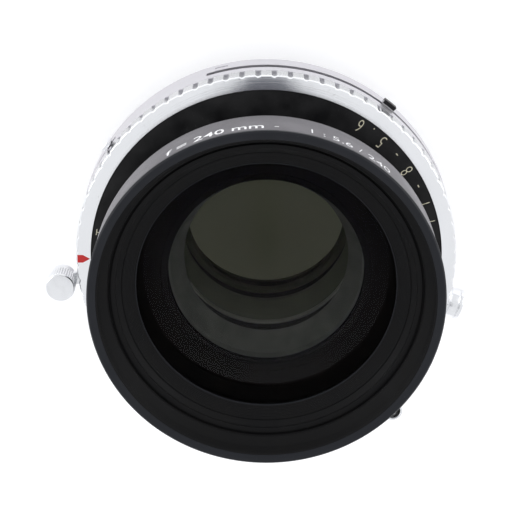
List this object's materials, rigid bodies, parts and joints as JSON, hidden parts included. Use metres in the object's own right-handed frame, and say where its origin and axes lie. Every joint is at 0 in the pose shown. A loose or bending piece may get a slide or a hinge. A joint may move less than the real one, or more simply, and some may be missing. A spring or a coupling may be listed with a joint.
{
  "type": "large-format view camera lens",
  "caption": "Large-format camera lens in a leaf shutter: black-rimmed front cell with a filter thread, scalloped chrome speed ring, cocking knob, aperture lever, iris, leaves and rear cell.",
  "frame": {"origin": "on the optical axis where the shutter seats on its lens board", "axes": "+Z along the optical axis out of the front glass, +Y to the top of the shutter, where the speed index is"},
  "size_m": [0.1043, 0.1145, 0.0786],
  "materials": {
    "black_enamel": "satin black enamel",
    "case_silver": "satin silver-grey",
    "black_anodised": "satin black anodised",
    "matt_black": "matt black",
    "grey_baffle": "grey anodised",
    "satin_silver": "satin, with engraved lettering",
    "chrome": "satin and bright chrome plate",
    "steel": "plain machined steel",
    "spring_steel": "blued spring steel",
    "blade_black": "matt blackened steel",
    "clock_brass": "polished brass",
    "red_enamel": "gloss red enamel",
    "insulator": "black insulating plastic",
    "coated_glass": "coated optical glass"
  },
  "bodies": {
    "shutter_body": {"cable_bracket": "chrome", "cable_socket": "chrome", "face_nut": "steel", "face_pillars": "steel", "face_plate": "black_enamel", "face_screws": "steel", "front_baffle": "grey_baffle", "front_band": "satin_silver", "front_barrel": "black_anodised", "front_bezel": "black_anodised", "front_glass_1": "coated_glass", "front_glass_2": "coated_glass", "front_glass_3": "coated_glass", "front_retaining_ring": "matt_black", "front_spacer": "matt_black", "index_screw": "case_silver", "iris_cover_plate": "matt_black", "main_spring": "spring_steel", "mechanism_plate": "steel", "mechanism_studs": "steel", "plate_pillars": "steel", "plate_screws": "steel", "rear_barrel": "black_anodised", "rear_glass_1": "coated_glass", "rear_glass_2": "coated_glass", "rear_glass_3": "coated_glass", "rear_retaining_ring": "black_anodised", "rear_spacer": "matt_black", "release_spring": "spring_steel", "shutter_case": "case_silver", "sync_contact": "steel", "sync_insulator": "insulator", "sync_terminal": "chrome"},
    "speed_selector": {"speed_ring": "chrome", "speed_pointer": "red_enamel", "speed_cam": "steel"},
    "aperture_control": {"aperture_ring": "steel", "aperture_lever": "black_enamel"},
    "leaf_control": {"leaf_drive_ring": "steel", "preview_lever": "chrome"},
    "cocking_lever": {"cocking_ring": "steel", "cocking_knob": "chrome", "cocking_knob_screw": "steel"},
    "governor": {"governor_pinion": "clock_brass", "escape_wheel": "clock_brass"},
    "pallet": {"governor_pallet": "clock_brass"},
    "release": {"release_lever": "chrome"},
    "iris_blade_1": {"iris_blade_1": "blade_black"},
    "iris_blade_2": {"iris_blade_2": "blade_black"},
    "iris_blade_3": {"iris_blade_3": "blade_black"},
    "iris_blade_4": {"iris_blade_4": "blade_black"},
    "iris_blade_5": {"iris_blade_5": "blade_black"},
    "iris_blade_6": {"iris_blade_6": "blade_black"},
    "iris_blade_7": {"iris_blade_7": "blade_black"},
    "shutter_leaf_1": {"shutter_leaf_1": "blade_black"},
    "shutter_leaf_2": {"shutter_leaf_2": "blade_black"},
    "shutter_leaf_3": {"shutter_leaf_3": "blade_black"},
    "shutter_leaf_4": {"shutter_leaf_4": "blade_black"},
    "shutter_leaf_5": {"shutter_leaf_5": "blade_black"}
  },
  "joints": [
    {"name": "speed_ring_turn", "type": "hinge", "parent": "shutter_body", "child": "speed_selector", "pos_m": [0, 0, 0], "axis": [0, 0, 1], "range_deg": [-9.5, 76]},
    {"name": "aperture_turn", "type": "hinge", "parent": "shutter_body", "child": "aperture_control", "pos_m": [0, 0, 0], "axis": [0, 0, 1], "range_deg": [0, 54]},
    {"name": "leaf_control_turn", "type": "hinge", "parent": "shutter_body", "child": "leaf_control", "pos_m": [0, 0, 0], "axis": [0, 0, 1], "range_deg": [0, 9]},
    {"name": "cocking_turn", "type": "hinge", "parent": "shutter_body", "child": "cocking_lever", "pos_m": [0, 0, 0], "axis": [0, 0, 1], "range_deg": [0, 38]},
    {"name": "governor_spin", "type": "hinge", "parent": "shutter_body", "child": "governor", "pos_m": [-0.03068, -0.02574, 0.012], "axis": [0, 0, 1], "range_deg": [-342, 0]},
    {"name": "pallet_rock", "type": "hinge", "parent": "shutter_body", "child": "pallet", "pos_m": [-0.02661, -0.03171, 0.012], "axis": [0, 0, 1], "range_deg": [-5, 5]},
    {"name": "release_press", "type": "hinge", "parent": "shutter_body", "child": "release", "pos_m": [-0.04258, 0.00598, 0.0115], "axis": [0, 0, 1], "range_deg": [0, 12], "stiffness_Nm_per_rad": 0.02},
    {"name": "iris_blade_1_swing", "type": "hinge", "parent": "shutter_body", "child": "iris_blade_1", "pos_m": [0.045, 0, 0.004], "axis": [0, 0, 1], "range_deg": [0, 27]},
    {"name": "iris_blade_2_swing", "type": "hinge", "parent": "shutter_body", "child": "iris_blade_2", "pos_m": [0.02806, 0.03518, 0.004], "axis": [0, 0, 1], "range_deg": [0, 27]},
    {"name": "iris_blade_3_swing", "type": "hinge", "parent": "shutter_body", "child": "iris_blade_3", "pos_m": [-0.01001, 0.04387, 0.004], "axis": [0, 0, 1], "range_deg": [0, 27]},
    {"name": "iris_blade_4_swing", "type": "hinge", "parent": "shutter_body", "child": "iris_blade_4", "pos_m": [-0.04054, 0.01952, 0.004], "axis": [0, 0, 1], "range_deg": [0, 27]},
    {"name": "iris_blade_5_swing", "type": "hinge", "parent": "shutter_body", "child": "iris_blade_5", "pos_m": [-0.04054, -0.01952, 0.004], "axis": [0, 0, 1], "range_deg": [0, 27]},
    {"name": "iris_blade_6_swing", "type": "hinge", "parent": "shutter_body", "child": "iris_blade_6", "pos_m": [-0.01001, -0.04387, 0.004], "axis": [0, 0, 1], "range_deg": [0, 27]},
    {"name": "iris_blade_7_swing", "type": "hinge", "parent": "shutter_body", "child": "iris_blade_7", "pos_m": [0.02806, -0.03518, 0.004], "axis": [0, 0, 1], "range_deg": [0, 27]},
    {"name": "shutter_leaf_1_swing", "type": "hinge", "parent": "shutter_body", "child": "shutter_leaf_1", "pos_m": [0.0442, 0, 0.008], "axis": [0, 0, 1], "range_deg": [0, 30]},
    {"name": "shutter_leaf_2_swing", "type": "hinge", "parent": "shutter_body", "child": "shutter_leaf_2", "pos_m": [0.01366, 0.04204, 0.008], "axis": [0, 0, 1], "range_deg": [0, 30]},
    {"name": "shutter_leaf_3_swing", "type": "hinge", "parent": "shutter_body", "child": "shutter_leaf_3", "pos_m": [-0.03576, 0.02598, 0.008], "axis": [0, 0, 1], "range_deg": [0, 30]},
    {"name": "shutter_leaf_4_swing", "type": "hinge", "parent": "shutter_body", "child": "shutter_leaf_4", "pos_m": [-0.03576, -0.02598, 0.008], "axis": [0, 0, 1], "range_deg": [0, 30]},
    {"name": "shutter_leaf_5_swing", "type": "hinge", "parent": "shutter_body", "child": "shutter_leaf_5", "pos_m": [0.01366, -0.04204, 0.008], "axis": [0, 0, 1], "range_deg": [0, 30]}
  ],
  "couplings": [
    {"joint": "governor_spin", "follows": "cocking_turn", "ratio": -9},
    {"joint": "iris_blade_1_swing", "follows": "aperture_turn", "ratio": 0.5},
    {"joint": "iris_blade_2_swing", "follows": "aperture_turn", "ratio": 0.5},
    {"joint": "iris_blade_3_swing", "follows": "aperture_turn", "ratio": 0.5},
    {"joint": "iris_blade_4_swing", "follows": "aperture_turn", "ratio": 0.5},
    {"joint": "iris_blade_5_swing", "follows": "aperture_turn", "ratio": 0.5},
    {"joint": "iris_blade_6_swing", "follows": "aperture_turn", "ratio": 0.5},
    {"joint": "iris_blade_7_swing", "follows": "aperture_turn", "ratio": 0.5},
    {"joint": "shutter_leaf_1_swing", "follows": "leaf_control_turn", "ratio": 3.3333},
    {"joint": "shutter_leaf_2_swing", "follows": "leaf_control_turn", "ratio": 3.3333},
    {"joint": "shutter_leaf_3_swing", "follows": "leaf_control_turn", "ratio": 3.3333},
    {"joint": "shutter_leaf_4_swing", "follows": "leaf_control_turn", "ratio": 3.3333},
    {"joint": "shutter_leaf_5_swing", "follows": "leaf_control_turn", "ratio": 3.3333}
  ]
}
